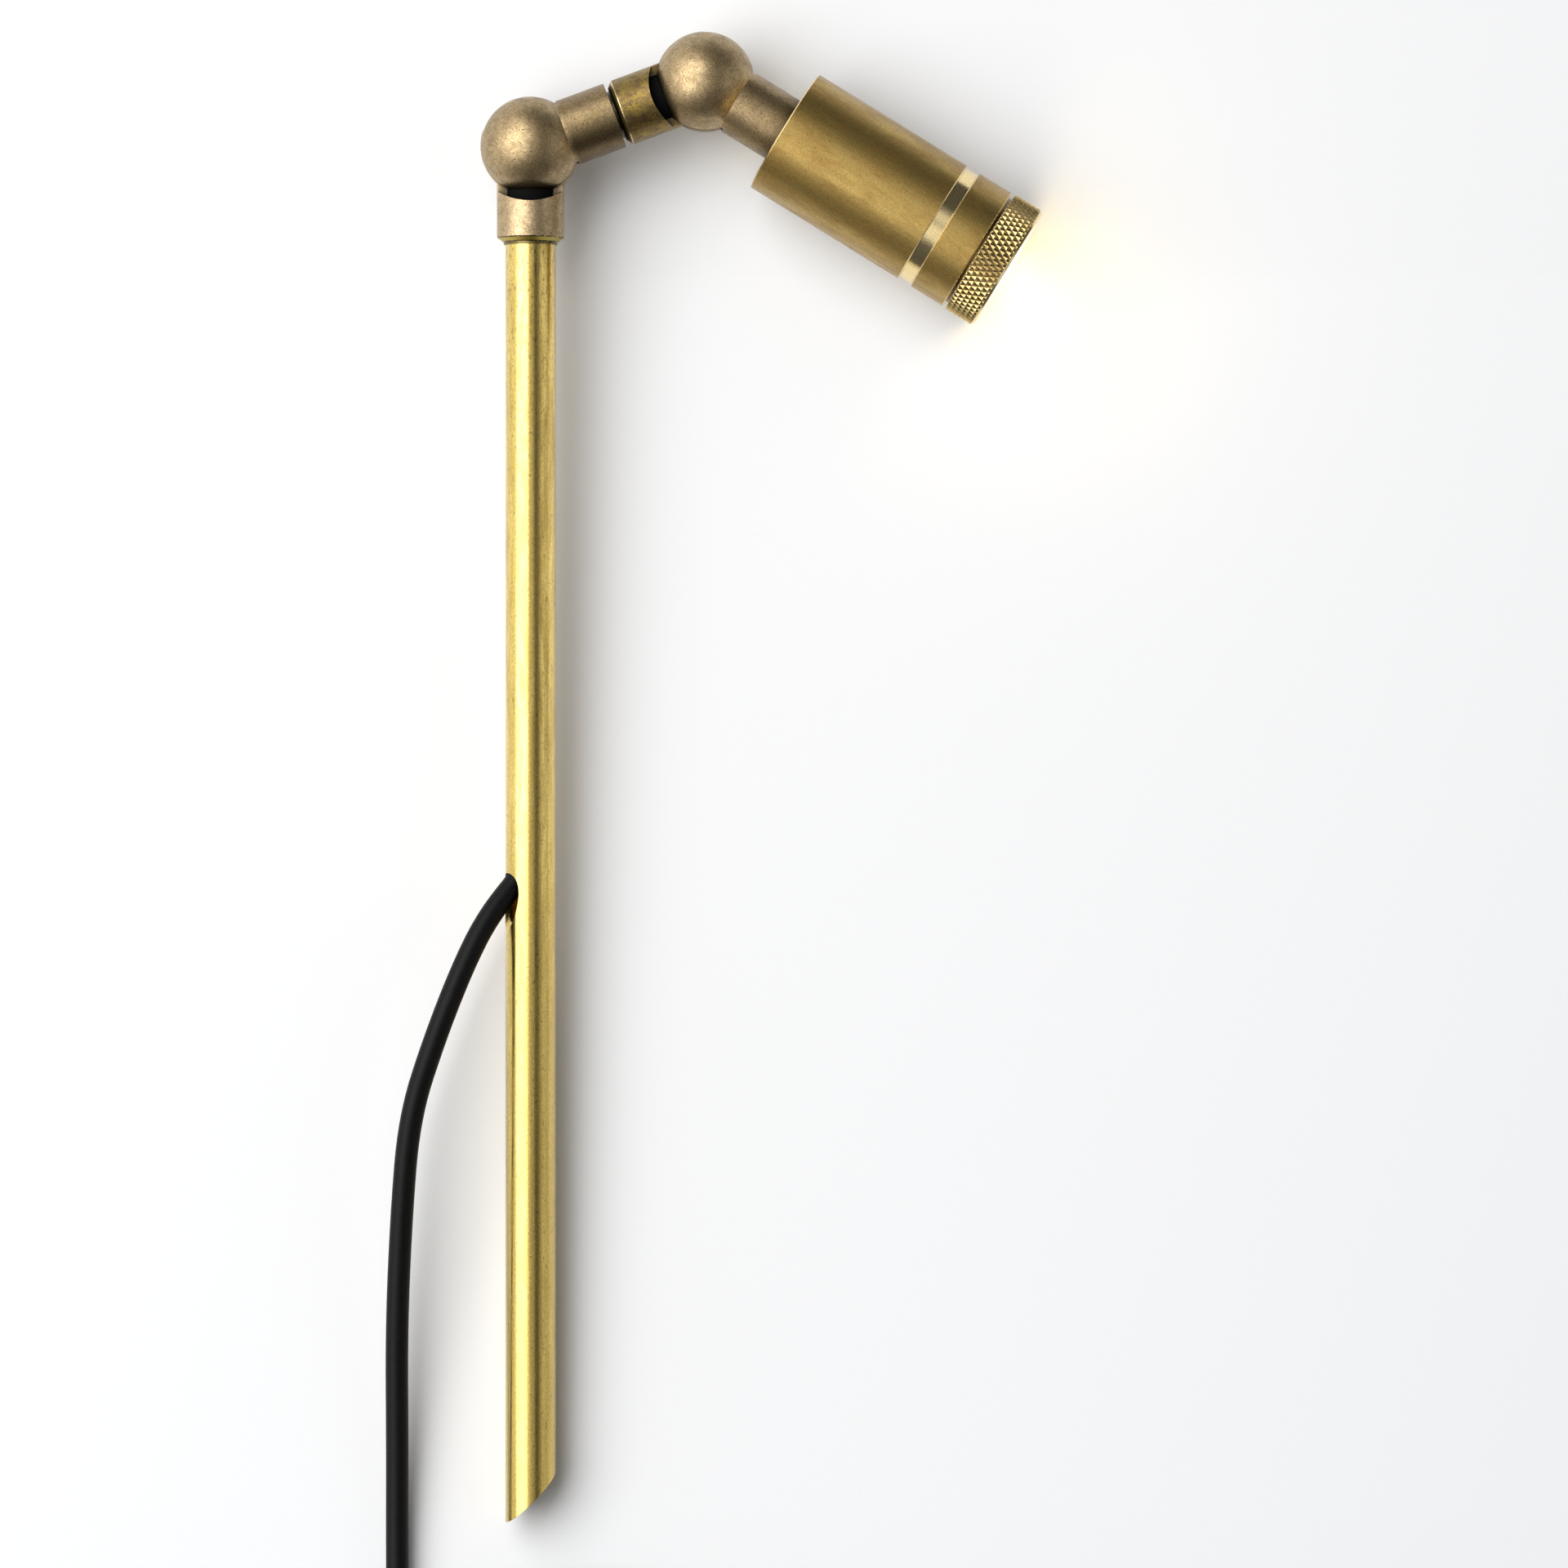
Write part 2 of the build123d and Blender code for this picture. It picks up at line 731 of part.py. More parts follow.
def coil_tie():
    """Band round all turns where the cable enters and leaves the coil."""
    turns_across = (coil_half_turns_in + 1) // 2
    across = turns_across * coil_pitch
    width = across + cable_d + 2 * tie_slack
    depth = coil_pitch + cable_d + 2 * tie_slack
    corner_r = cable_r + tie_thickness
    inner = RectangleRounded(width, depth, cable_r)
    outer = RectangleRounded(width + 2 * tie_thickness, depth + 2 * tie_thickness, corner_r)
    middle_y = (coil_plane_y + coil_front_y) / 2
    centre = Pos(lead_x + across / 2, middle_y, coil_height - tie_width / 2)
    return centre * extrude(outer - inner, amount=tie_width)


def plug_gland_nut():
    """Domed hexagon nut that the cable enters."""
    mouth_r = cable_r + gland_lip
    blank = turned([
        (gland_bore_r, 0),
        (mouth_r, 0),
        (gland_r, gland_r - mouth_r),
        (gland_r, gland_h),
        (gland_bore_r, gland_h),
    ])
    return blank & hex_bar(gland_flats, -PAST, gland_h + PAST)


def plug_gland_seal():
    """Rubber washer between the gland nut and the plug's body."""
    return sleeve(gland_seal_r, gland_bore_r, gland_h, gland_h + gland_seal_h)


plug_start = gland_h + gland_seal_h
nose_start = plug_start + plug_h
nose_end = nose_start + nose_h
contact_root = plug_start + plug_h / 2


def plug_body():
    """Grip with flutes round it, and the round nose that the supply's socket slides over."""
    body = turned([
        (0, plug_start),
        (plug_r - plug_bevel, plug_start),
        (plug_r, plug_start + plug_bevel),
        (plug_r, nose_start - plug_bevel),
        (plug_r - plug_bevel, nose_start),
        (nose_r, nose_start),
        (nose_r, nose_end),
        (0, nose_end),
    ])
    flute = bar(plug_grip_r, plug_start + plug_grip_margin, nose_start - plug_grip_margin, x=plug_r)
    body -= [Rot(0, 0, 360 * index / plug_grip_count) * flute for index in range(plug_grip_count)]
    for side in (-1, 1):
        body -= bar(contact_r, contact_root, nose_end + PAST, x=side * contact_pitch / 2)
    return body


def plug_contacts():
    """Two round contacts that stand out of the plug's nose."""
    tip = nose_end + contact_reach
    return Part() + [bar(contact_r, contact_root, tip, x=side * contact_pitch / 2) for side in (-1, 1)]


# --- Write every sub-part -----------------------------------------------------------------------------

os.makedirs("parts", exist_ok=True)

save("stem_tube", stem_tube())
save("stem_ferrule", stem_ferrule())
save("stem_cable", stem_cable())
save("stem_wires", core_pair(cable_top, lower_pivot_z - hub_r - core_end_gap))
save("lower_socket", at_lower * socket(lower_socket_length))
save("lower_wire_seal", at_lower * wire_seal())

save("lower_ball_arm", at_arm * lower_ball_arm())
save("arm_nipple", at_arm * arm_nipple())
save("arm_wires", at_arm * core_pair(slot_r, nipple_top + core_reach))

save("upper_socket", at_upper * upper_socket())
save("upper_wire_seal", at_upper * wire_seal())
save("twist_lock_screw", at_upper * twist_lock_screw())

save("upper_ball_arm", at_head_neck * upper_ball_arm())

for knuckle, place in (("lower", at_arm), ("upper", at_head_neck)):
    save(f"{knuckle}_pivot_screw", place * pivot_screw())
    save(f"{knuckle}_spring_washer", place * spring_washer())
    save(f"{knuckle}_friction_washers", place * friction_washers())

save("head_body", at_head * head_body())
save("neck_lock_nut", at_head * neck_lock_nut())
save("head_wires", at_head * core_pair(slot_r - upper_neck_length, holder_bottom))
save("holder_plate", at_head * holder_plate())
save("lamp_holder", at_head * lamp_holder())
save("holder_screws", at_head * holder_screws())
save("lamp_base", at_head * lamp_base())
save("lamp_pins", at_head * lamp_pins())
save("lamp_reflector", at_head * lamp_reflector())
save("lamp_capsule", at_head * lamp_capsule())
save("lamp_front_glass", at_head * lamp_front_glass())
seat_r = head_bore_r - thread_clearance
save("lamp_seat_ring", at_head * sleeve(seat_r, seat_r - seat_ring_w, lamp_seat - seat_ring_h, lamp_seat))

save("lens_glass", at_head * lens_glass())
save("lens_gasket", at_head * lens_gasket())
save("knurled_ring", at_head * knurled_ring())

save("cord_lead", cord_lead())
save("cord_coil", cord_coil())
save("cord_tail", cord_tail())
save("coil_tie", coil_tie())
save("plug_gland_nut", at_plug * plug_gland_nut())
save("plug_gland_seal", at_plug * plug_gland_seal())
save("plug_body", at_plug * plug_body())
save("plug_contacts", at_plug * plug_contacts())
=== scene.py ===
"""Looks of the garden spike spotlight, in metres and in the CAD model's own frame.

Sizes are named in millimetres, as in the CAD model, and turned into metres where objects are made.
"""

import math

import bpy
from mathutils import Matrix, Quaternion, Vector


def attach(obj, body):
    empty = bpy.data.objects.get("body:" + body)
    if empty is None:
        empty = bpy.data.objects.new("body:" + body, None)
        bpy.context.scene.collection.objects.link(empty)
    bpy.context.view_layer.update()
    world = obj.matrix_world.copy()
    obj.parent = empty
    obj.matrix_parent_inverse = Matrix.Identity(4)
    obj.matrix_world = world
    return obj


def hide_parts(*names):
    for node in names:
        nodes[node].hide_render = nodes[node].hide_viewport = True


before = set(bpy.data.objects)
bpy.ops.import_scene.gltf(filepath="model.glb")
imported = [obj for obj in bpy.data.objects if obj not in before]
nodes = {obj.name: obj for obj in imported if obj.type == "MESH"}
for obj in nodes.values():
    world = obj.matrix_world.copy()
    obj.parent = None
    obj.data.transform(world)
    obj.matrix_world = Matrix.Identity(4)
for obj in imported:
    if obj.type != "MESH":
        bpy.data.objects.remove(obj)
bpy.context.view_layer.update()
scene = bpy.context.scene

MM = 0.001


# --- Sizes of the CAD model that the brass, the ring and the lamp's light go by -----------------------

collar_z = 219.4
ball_r = 15.85

# Each socket's bevelled end, from its narrow to its wide edge, along Z from the ball's centre
lower_bevel = (-30.4, -28.8)
upper_bevel = (-29.7, -28.1)

# The head and its ring, along the head's own axis
groove_start = 55.1
groove_end = 59.5
groove_bevel = 0.25
barrel_length = 71.6
barrel_bevel = 0.3
ring_end = 82.2
lip_end = 83.1


# --- Where the arms stand at rest ---------------------------------------------------------------------

lower_pivot_z = 250.5
link_length = 58.9
upper_neck_length = 29.5
arm_tilt = math.radians(69.7)
head_tilt = math.radians(69.7 + 52.0)

at_lower = Matrix.Translation((0.0, 0.0, lower_pivot_z))
at_arm = at_lower @ Matrix.Rotation(arm_tilt, 4, "Y")
at_upper = at_arm @ Matrix.Translation((0.0, 0.0, link_length))
at_head_neck = at_upper @ Matrix.Rotation(head_tilt - arm_tilt, 4, "Y")
at_head = at_head_neck @ Matrix.Translation((0.0, 0.0, upper_neck_length))


# --- The photograph's camera --------------------------------------------------------------------------

picture_width = 0.4956
camera_distance = 2.35
picture_centre = Vector((0.0801, 0.0, 0.0490))
sensor_width = 36.0

camera_data = bpy.data.cameras.new("camera")
camera_data.sensor_width = sensor_width
camera_data.lens = sensor_width * camera_distance / picture_width
camera = bpy.data.objects.new("camera", camera_data)
camera.location = picture_centre - Vector((0.0, camera_distance, 0.0))
camera.rotation_euler = (math.radians(90), 0.0, 0.0)
scene.collection.objects.link(camera)
scene.camera = camera


# --- Shader helpers -----------------------------------------------------------------------------------

def add_node(tree, kind, inputs=None, **settings):
    """New shader node with its settings made and its inputs set or linked."""
    node = tree.nodes.new(kind)
    for key, value in settings.items():
        setattr(node, key, value)
    for key, value in (inputs or {}).items():
        if isinstance(value, bpy.types.NodeSocket):
            tree.links.new(value, node.inputs[key])
        else:
            node.inputs[key].default_value = value
    return node


def new_material(name):
    """Empty node material: (material, its tree, its shader)."""
    material = bpy.data.materials.new(name)
    material.use_nodes = True
    return material, material.node_tree, material.node_tree.nodes["Principled BSDF"]


def here(tree):
    """Place of the shaded point, in metres in the CAD model's frame."""
    return add_node(tree, "ShaderNodeTexCoord").outputs["Object"]


def place(tree, feature_mm, tilt):
    """Place tilted about Y and divided by a feature size in millimetres, one per axis."""
    size = [value * MM for value in feature_mm]
    inputs = {0: here(tree), "Rotation": (0.0, tilt, 0.0), "Scale": size}
    return add_node(tree, "ShaderNodeMapping", inputs, vector_type="TEXTURE").outputs[0]


def noise(tree, feature_mm, tilt=0.0, detail=3.0, roughness=0.55, distortion=0.0):
    """Noise whose features have the given size, the same along each axis or one per axis."""
    if not hasattr(feature_mm, "__len__"):
        feature_mm = (feature_mm,) * 3
    inputs = {"Vector": place(tree, feature_mm, tilt), "Scale": 1.0, "Detail": detail,
              "Roughness": roughness, "Distortion": distortion}
    return add_node(tree, "ShaderNodeTexNoise", inputs).outputs["Fac"]


def remap(tree, value, low, high, to_low=0.0, to_high=1.0):
    """Value clamped between two levels and stretched to two others."""
    inputs = {"Value": value, "From Min": low, "From Max": high, "To Min": to_low, "To Max": to_high}
    return add_node(tree, "ShaderNodeMapRange", inputs).outputs[0]


def maths(tree, operation, first, second=0.0):
    """One arithmetic step."""
    return add_node(tree, "ShaderNodeMath", {0: first, 1: second}, operation=operation).outputs[0]


def times(tree, first, second):
    """Product of two values."""
    return maths(tree, "MULTIPLY", first, second)


def larger(tree, first, second):
    """The larger of two values."""
    return maths(tree, "MAXIMUM", first, second)


def dot(tree, first, second):
    """Dot product of two vectors."""
    inputs = {0: first, 1: second}
    return add_node(tree, "ShaderNodeVectorMath", inputs, operation="DOT_PRODUCT").outputs["Value"]


def mix_colour(tree, share, first, second, blend="MIX"):
    """Colour between two, or one blended on the other."""
    inputs = {"Factor": share, 6: first, 7: second}
    return add_node(tree, "ShaderNodeMix", inputs, data_type="RGBA", blend_type=blend).outputs[2]


def rgb(red, green, blue):
    """Opaque colour as a shader input takes it."""
    return (red, green, blue, 1.0)


def shade(tree, colour, tone):
    """Colour multiplied by a grey value."""
    grey = add_node(tree, "ShaderNodeCombineColor", {0: tone, 1: tone, 2: tone}).outputs[0]
    return mix_colour(tree, 1.0, colour, grey, "MULTIPLY")


def soft_edges(tree, radius_mm):
    """Normal over rounded edges, and a mask that is 1 close to a sharp edge."""
    rounded = add_node(tree, "ShaderNodeBevel", {"Radius": radius_mm * MM}, samples=6).outputs[0]
    flat = add_node(tree, "ShaderNodeNewGeometry").outputs["Normal"]
    return rounded, remap(tree, dot(tree, rounded, flat), 0.995, 0.92)


def relief(tree, height, distance_mm, strength, normal):
    """Normal bent by a height field."""
    inputs = {"Height": height, "Distance": distance_mm * MM, "Strength": strength, "Normal": normal}
    return add_node(tree, "ShaderNodeBump", inputs).outputs[0]


def crevices(tree, reach_mm, open_level, closed_level):
    """1 in corners and grooves, 0 on open surfaces."""
    occlusion = add_node(tree, "ShaderNodeAmbientOcclusion", {"Distance": reach_mm * MM}, samples=6)
    return remap(tree, occlusion.outputs["AO"], open_level, closed_level)


def height_above_ground(tree):
    """Height of the shaded point in metres."""
    return add_node(tree, "ShaderNodeSeparateXYZ", {0: here(tree)}).outputs[2]


def distance_along(tree, frame_mm, axis):
    """Distance in metres from a placed frame's origin along one of its axes."""
    toward = frame_mm.col[axis].to_3d()
    reach = dot(tree, here(tree), tuple(toward))
    return maths(tree, "SUBTRACT", reach, frame_mm.translation.dot(toward) * MM)


def band(tree, frame_mm, low, high, blur=0.06):
    """1 between two heights in mm along a placed frame's Z axis, 0 elsewhere."""
    height = distance_along(tree, frame_mm, 2)
    above = remap(tree, height, (low - blur) * MM, (low + blur) * MM)
    below = remap(tree, height, (high - blur) * MM, (high + blur) * MM, 1.0, 0.0)
    return times(tree, above, below)


def off_the_ball(tree, frame_mm, blur=0.6):
    """0 on the ball at a placed frame's origin, 1 on its neck and beyond."""
    inputs = {0: here(tree), 1: tuple(frame_mm.translation * MM)}
    away = add_node(tree, "ShaderNodeVectorMath", inputs, operation="DISTANCE").outputs["Value"]
    return remap(tree, away, ball_r * MM, (ball_r + 2 * blur) * MM)


# --- Brass --------------------------------------------------------------------------------------------

# Levels of the noise, which lies round 0.5, between which each effect sets in
stain_levels = (0.38, 0.64)
grain_levels = (0.40, 0.60)
pit_levels = (0.36, 0.27)
streak_levels = (0.35, 0.65)
wear_levels = (0.30, 0.55)
bare_grain_levels = (0.38, 0.62)

# Pits are this many times the grain's size, and heights are shares of the relief
pit_size = 2.0
grain_height = 0.6
streak_height = 0.6
relief_mm = 0.03

# Least and most of a sharp edge that is bare, and how bare metal differs
wear_at_edges = (0.2, 0.9)
bare_tones = (0.78, 1.08)
bare_roughness = 0.15
bare_relief = 0.55
coat_roughness_share = 0.9
least_coat_roughness = 0.12
# Colour of dirt and of painted shade, in corners and along the lower socket's bevel
dirt_and_shade_colour = (0.030, 0.020, 0.009)


def brass(name, bright, dark, bare, roughness, grain_mm, stain_mm, tilt=0.0, pits=0.4, mottle=0.12,
          streak=None, streak_depth=0.0, bump=0.5, coat=0.6, edge_mm=0.15, dirt_and_shade=0.8, dirt_and_shade_reach=2.0,
          dirt_and_shade_levels=(0.75, 0.35), polished=(), patches=()):
    """Brass: two-tone stains, patches, grain, pits, streaks, bare edges and bands, dirt and painted shade
    in corners.

    Each of the patches is a function that gives a colour and how much of it shows.
    """
    material, tree, shader = new_material(name)
    normal, edge = soft_edges(tree, edge_mm)
    stains = noise(tree, stain_mm, tilt, detail=6.0, roughness=0.62, distortion=0.4)
    stain = remap(tree, stains, *stain_levels)
    grain = noise(tree, grain_mm, tilt, detail=4.0, roughness=0.7)
    pit_mm = tuple(pit_size * size for size in grain_mm)
    pit = remap(tree, noise(tree, pit_mm, tilt, detail=2.0), *pit_levels)
    height = maths(tree, "SUBTRACT", times(tree, grain, grain_height), times(tree, pit, pits))

    colour = mix_colour(tree, stain, rgb(*bright), rgb(*dark))
    for patch in patches:
        tone, share = patch(tree)
        colour = mix_colour(tree, share, colour, rgb(*tone))
    colour = shade(tree, colour, remap(tree, grain, *grain_levels, 1.0 - mottle, 1.0 + mottle))
    colour = shade(tree, colour, remap(tree, pit, 0.0, 1.0, 1.0, 1.0 - pits))
    rough = remap(tree, stain, 0.0, 1.0, *roughness)
    if streak:
        lines = noise(tree, streak, tilt, detail=5.0, roughness=0.7)
        tone = remap(tree, lines, *streak_levels, 1.0 - streak_depth, 1.0 + streak_depth)
        colour = shade(tree, colour, tone)
        height = maths(tree, "ADD", height, times(tree, lines, streak_height))

    show = times(tree, edge, remap(tree, grain, *wear_levels, *wear_at_edges))
    for frame_mm, low, high in polished:
        show = larger(tree, show, band(tree, frame_mm, low, high))
    metal = shade(tree, rgb(*bare), remap(tree, grain, *bare_grain_levels, *bare_tones))
    colour = mix_colour(tree, show, colour, metal)
    rough = add_node(tree, "ShaderNodeMix", {0: show, 2: rough, 3: bare_roughness}).outputs[0]
    height = times(tree, height, remap(tree, show, 0.0, 1.0, 1.0, bare_relief))

    # Dirt and painted shade: corners, grooves and gaps darkened by ambient occlusion
    dirt_and_shade_share = times(tree, crevices(tree, dirt_and_shade_reach, *dirt_and_shade_levels), dirt_and_shade)
    colour = mix_colour(tree, dirt_and_shade_share, colour, rgb(*dirt_and_shade_colour))
    tree.links.new(colour, shader.inputs["Base Color"])
    tree.links.new(rough, shader.inputs["Roughness"])
    tree.links.new(relief(tree, height, relief_mm, bump, normal), shader.inputs["Normal"])
    shader.inputs["Metallic"].default_value = 1.0
    shader.inputs["Coat Weight"].default_value = coat
    coat_roughness = max(least_coat_roughness, coat_roughness_share * roughness[0])
    shader.inputs["Coat Roughness"].default_value = coat_roughness
    return material


def brown_spots_at_the_top(tree):
    """Brown spots on the tube, most of them just below its collar."""
    brown_spot = (0.20, 0.12, 0.030)
    spots = remap(tree, noise(tree, (0.9, 0.9, 2.4), detail=4.0, roughness=0.7), 0.54, 0.64)
    height = height_above_ground(tree)
    near_top = remap(tree, height, (collar_z - 75.0) * MM, collar_z * MM, 0.10, 0.75)
    return brown_spot, times(tree, spots, near_top)


def darker_to_the_foot(tree):
    """The tube is duller and more yellow towards the ground."""
    foot_colour = (0.57, 0.41, 0.095)
    uneven = noise(tree, (5.0, 5.0, 45.0), detail=3.0)
    shift = remap(tree, uneven, 0.35, 0.65, -30.0 * MM, 30.0 * MM)
    height = maths(tree, "ADD", height_above_ground(tree), shift)
    return foot_colour, remap(tree, height, 40.0 * MM, -60.0 * MM, 0.0, 0.8)


def rubbed_arm(tree):
    """Patches on the arm's neck where the brown is rubbed through to olive yellow."""
    olive_yellow = (0.42, 0.31, 0.075)
    spots = remap(tree, noise(tree, (2.2, 2.2, 5.0), arm_tilt, detail=5.0, roughness=0.7), 0.50, 0.62)
    return olive_yellow, times(tree, off_the_ball(tree, at_arm), times(tree, spots, 0.6))


def dark_neck_shaded_below(neck_frame, least, most):
    """A neck darker than its ball, from the least share on top to the most underneath; the darkening
    underneath is painted shade.
    """
    neck_dark_and_shade_brown = (0.12, 0.078, 0.034)
    change_over = 6.0 * MM

    def dark_and_shaded_neck(tree):
        across = distance_along(tree, neck_frame, 0)
        # Painted shade: the neck darkens towards its underside
        under = remap(tree, across, -change_over, change_over, least, most)
        return neck_dark_and_shade_brown, times(tree, off_the_ball(tree, neck_frame), under)
    return dark_and_shaded_neck


def rubbed_socket(tree):
    """Olive yellow patches on the upper socket, and all over its bevel."""
    olive_yellow = (0.34, 0.24, 0.045)
    narrow, wide = upper_bevel
    spots = remap(tree, noise(tree, (2.5, 2.5, 6.0), arm_tilt, detail=5.0, roughness=0.7), 0.45, 0.58)
    bevel = band(tree, at_upper, narrow - 0.1, wide - 0.2)
    return olive_yellow, larger(tree, bevel, times(tree, spots, 0.65))


def yellow_bevel(tree):
    """The lower socket's bevel is bare and yellow."""
    bare_yellow = (0.46, 0.35, 0.065)
    narrow, wide = lower_bevel
    return bare_yellow, band(tree, at_lower, narrow - 0.1, wide - 0.1)


def dark_bevel_edges(tree):
    """Broken dark lines along both edges of the lower socket's bevel: painted shadow along its wide edge, a
    dark joint along its narrow edge.
    """
    narrow, wide = lower_bevel
    wide_line = band(tree, at_lower, wide - 0.35, wide + 0.05)
    narrow_line = band(tree, at_lower, narrow - 0.2, narrow + 0.25)
    broken = remap(tree, noise(tree, 0.9, detail=3.0), 0.36, 0.52)
    return dirt_and_shade_colour, times(tree, larger(tree, wide_line, narrow_line), broken)


yellow = (0.90, 0.72, 0.26)
pale = (0.97, 0.76, 0.38)
# Its long reach darkens the balls and sockets round the knuckle gaps: mostly painted shade
aged_look = dict(
    bare=(0.88, 0.70, 0.40), roughness=(0.40, 0.48), grain_mm=(0.36, 0.36, 0.36), stain_mm=(3.0, 3.0, 3.0),
    pits=0.75, mottle=0.34, bump=0.9, coat=0.3, dirt_and_shade=0.97, dirt_and_shade_reach=10.0, dirt_and_shade_levels=(0.76, 0.48))
brown = dict(bright=(0.44, 0.325, 0.172), dark=(0.30, 0.216, 0.110))
fawn = dict(bright=(0.50, 0.375, 0.215), dark=(0.38, 0.278, 0.150))
olive = dict(bright=(0.23, 0.150, 0.056), dark=(0.14, 0.088, 0.034))

tube_brass = brass(
    "tube_brass", bright=(0.84, 0.62, 0.175), dark=(0.58, 0.40, 0.085), bare=yellow, roughness=(0.17, 0.29),
    grain_mm=(0.4, 0.4, 0.9), stain_mm=(2.6, 2.6, 20.0), pits=0.5, mottle=0.14,
    streak=(0.32, 0.32, 45.0), streak_depth=0.14, bump=0.4, coat=0.7,
    patches=[brown_spots_at_the_top, darker_to_the_foot])
bright_brass = brass(
    "bright_brass", bright=(0.66, 0.50, 0.10), dark=(0.34, 0.24, 0.03), bare=yellow, roughness=(0.22, 0.38),
    grain_mm=(0.4, 0.4, 0.4), stain_mm=(1.6, 1.6, 1.6), dirt_and_shade=0.95, dirt_and_shade_levels=(0.9, 0.5))
# Dark brass for the ferrule and the nipple; on the nipple, in the gap between arm and socket, the dark is
# painted shade
dark_gap_brass = brass(
    "dark_gap_brass", bright=(0.26, 0.19, 0.040), dark=(0.07, 0.045, 0.015), bare=(0.50, 0.38, 0.08),
    roughness=(0.35, 0.50), grain_mm=(0.4, 0.4, 0.4), stain_mm=(0.9, 0.9, 0.9), dirt_and_shade=0.95,
    dirt_and_shade_levels=(0.95, 0.6))
lower_socket_brass = brass(
    "lower_socket_brass", **fawn, **aged_look, patches=[yellow_bevel, dark_bevel_edges])
upper_socket_brass = brass(
    "upper_socket_brass", **olive, **aged_look, tilt=arm_tilt, patches=[rubbed_socket],
    polished=[(at_upper, upper_bevel[1] - 0.2, upper_bevel[1] + 0.2)])
lower_arm_brass = brass(
    "lower_arm_brass", **brown, **aged_look, tilt=arm_tilt,
    patches=[rubbed_arm, dark_neck_shaded_below(at_arm, least=0.42, most=0.85)])
upper_arm_brass = brass(
    "upper_arm_brass", **brown, **aged_look, tilt=head_tilt,
    patches=[dark_neck_shaded_below(at_upper, least=0.05, most=0.30)])
head_look = dict(
    bright=(0.440, 0.300, 0.088), dark=(0.338, 0.212, 0.057), bare=pale, roughness=(0.36, 0.46),
    grain_mm=(0.34, 0.34, 0.5), stain_mm=(4.0, 4.0, 14.0), tilt=head_tilt, pits=0.35, mottle=0.20,
    streak=(0.35, 0.35, 12.0), streak_depth=0.08, bump=0.6, coat=0.3)
head_brass = brass(
    "head_brass", **head_look, polished=[
        (at_head, -0.1, barrel_bevel + 0.02),
        (at_head, groove_start - groove_bevel, groove_end + groove_bevel),
        (at_head, barrel_length - barrel_bevel, barrel_length + 0.1),
    ])
ring_look = dict(
    head_look, bright=(0.68, 0.50, 0.20), dark=(0.50, 0.34, 0.11), roughness=(0.24, 0.34), mottle=0.28)
# Dirt and painted shade darken the knurl's grooves
ring_brass = brass(
    "ring_brass", **ring_look, dirt_and_shade=0.95, dirt_and_shade_reach=0.8, dirt_and_shade_levels=(0.90, 0.58),
    polished=[(at_head, ring_end - 0.1, lip_end + 0.1)])


# --- Other finishes -----------------------------------------------------------------------------------

def plain(name, light, dark, roughness, grain_mm, metallic=0.0, bump_mm=0.01, gloss=0.5):
    """Solid material with a fine two-tone grain and a matching relief."""
    material, tree, shader = new_material(name)
    grain = noise(tree, grain_mm, detail=5.0, roughness=0.65)
    share = remap(tree, grain, 0.35, 0.65)
    tree.links.new(mix_colour(tree, share, rgb(*dark), rgb(*light)), shader.inputs["Base Color"])
    tree.links.new(remap(tree, grain, 0.3, 0.7, *roughness), shader.inputs["Roughness"])
    rounded = soft_edges(tree, 0.1)[0]
    tree.links.new(relief(tree, grain, bump_mm, 0.6, rounded), shader.inputs["Normal"])
    shader.inputs["Metallic"].default_value = metallic
    shader.inputs["Specular IOR Level"].default_value = gloss
    return material


def glass(name, tint, roughness, glow=0.0, glow_colour=(1.0, 0.86, 0.66)):
    """Clear glass with faint ripples, which may glow."""
    material, tree, shader = new_material(name)
    ripple = noise(tree, 2.5, detail=2.0)
    bump = {"Height": ripple, "Distance": 0.02 * MM, "Strength": 0.2}
    tree.links.new(add_node(tree, "ShaderNodeBump", bump).outputs[0], shader.inputs["Normal"])
    tree.links.new(mix_colour(tree, ripple, rgb(*tint), rgb(1.0, 1.0, 1.0)), shader.inputs["Base Color"])
    shader.inputs["Roughness"].default_value = roughness
    shader.inputs["Transmission Weight"].default_value = 1.0
    shader.inputs["IOR"].default_value = 1.5
    shader.inputs["Emission Color"].default_value = rgb(*glow_colour)
    shader.inputs["Emission Strength"].default_value = glow
    return material


black, deep_black = (0.005, 0.005, 0.005), (0.002, 0.002, 0.002)
rubber = plain("cable_rubber", black, deep_black, (0.40, 0.52), 0.8, bump_mm=0.05, gloss=0.14)
# Black rubber; on the wire seals it fills the knuckle gaps with black that stands for their shade: painted
# shade
seal_and_gap_shade = plain("seal_rubber", black, deep_black, (0.7, 0.9), 0.5, gloss=0.08)
moulding = plain("plug_plastic", (0.030, 0.030, 0.032), (0.016, 0.016, 0.017), (0.38, 0.55), 0.4)
steel = plain("steel", (0.60, 0.60, 0.61), (0.42, 0.42, 0.43), (0.25, 0.42), (0.2, 0.2, 1.5), metallic=1.0)
aluminium = plain("aluminium", (0.80, 0.80, 0.81), (0.66, 0.66, 0.67), (0.28, 0.42), 0.4, metallic=1.0)
fibre = plain("fibre", (0.38, 0.13, 0.06), (0.26, 0.08, 0.04), (0.6, 0.8), 0.25)
ceramic = plain("ceramic", (0.86, 0.83, 0.76), (0.74, 0.70, 0.62), (0.6, 0.8), 0.5)
insulation = plain("insulation", (0.10, 0.045, 0.02), (0.06, 0.025, 0.012), (0.3, 0.45), 1.5)
silvered = plain("silvered", (0.92, 0.92, 0.93), (0.84, 0.84, 0.86), (0.05, 0.14), 3.0, metallic=1.0)
